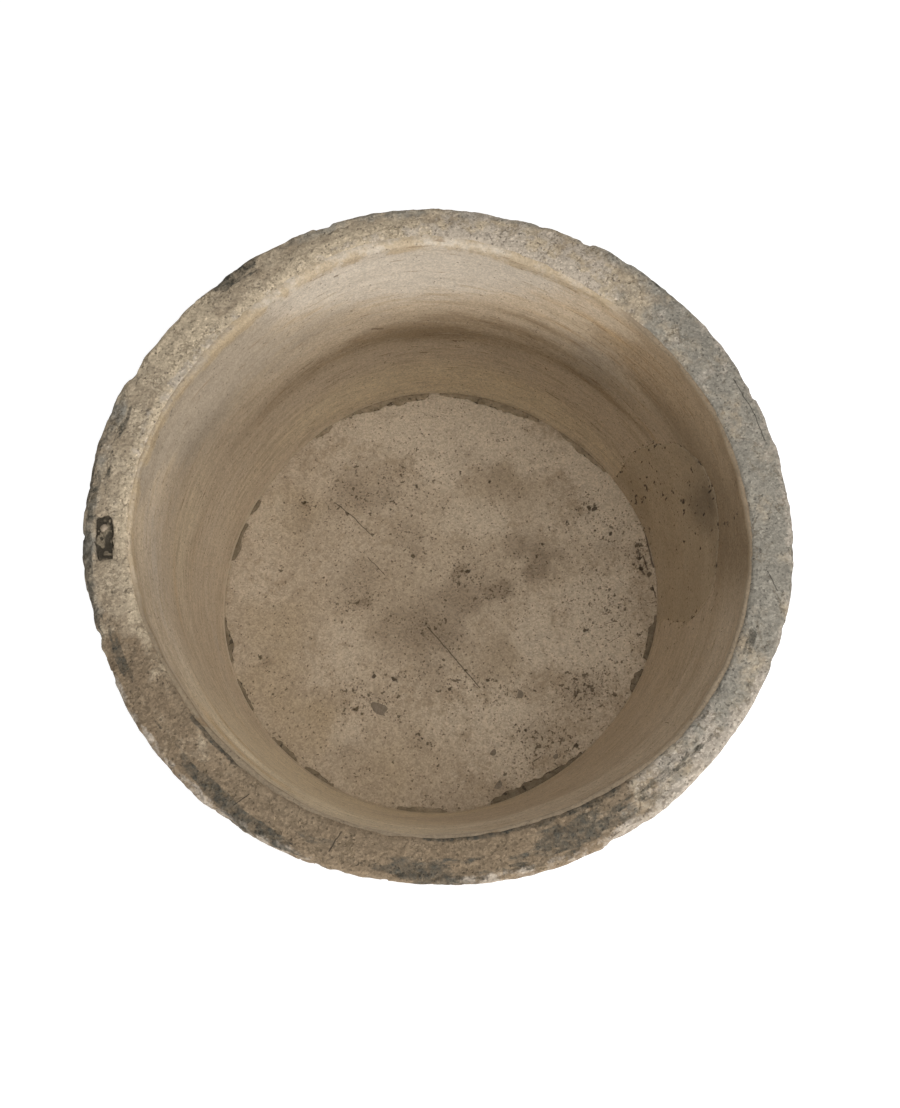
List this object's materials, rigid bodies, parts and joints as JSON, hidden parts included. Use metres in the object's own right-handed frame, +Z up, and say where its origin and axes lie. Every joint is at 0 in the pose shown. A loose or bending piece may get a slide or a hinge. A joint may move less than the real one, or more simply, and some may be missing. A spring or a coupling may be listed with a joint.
{
  "type": "stone trough planter",
  "caption": "Round hewn-stone trough planter: thick tapering wall with a flat bare rim, render-lined hollow, screeded floor and mortar repairs.",
  "frame": {"origin": "centre of the underside, on the ground", "axes": "+Z up through the open mouth; +X towards the wall repair's side, +Y away from the side that the picture was taken from"},
  "size_m": [0.7, 0.6998, 0.368],
  "materials": {
    "hewn_stone": "hewn with a point, weathered, coarse grain, matt",
    "lime_render": "trowelled and brushed lime render, matt",
    "patch_mortar": "smooth trowelled repair mortar with pinholes, matt",
    "floor_screed": "worn fine screed with pinholes and stains, matt",
    "seam_mortar": "pointed grey mortar, matt",
    "floor_fill": "troweled grey mortar, matt",
    "pocket_mortar": "crumbling dark mortar, matt",
    "pebble": "water-worn pebble, matt"
  },
  "bodies": {
    "root": {"stone_shell": "hewn_stone", "wall_render": "lime_render", "wall_patch": "patch_mortar", "floor_screed": "floor_screed", "mortar_back_left_long": "seam_mortar", "mortar_back_left_short": "seam_mortar", "mortar_back_right_long": "seam_mortar", "mortar_right_back": "seam_mortar", "mortar_right_long": "seam_mortar", "mortar_right_short": "seam_mortar", "mortar_front_right_long": "seam_mortar", "mortar_front": "seam_mortar", "mortar_front_left_short": "seam_mortar", "mortar_front_left_long": "seam_mortar", "mortar_left_front": "seam_mortar", "mortar_left_long": "seam_mortar", "mortar_left_back_long": "seam_mortar", "mortar_left_back_short": "seam_mortar", "floor_fill_large": "floor_fill", "floor_fill_front": "floor_fill", "floor_fill_right": "floor_fill", "floor_fill_edge": "floor_fill", "floor_fill_dark": "floor_fill", "rim_pocket_fill": "pocket_mortar", "rim_pocket_pebble": "pebble"}
  },
  "joints": []
}
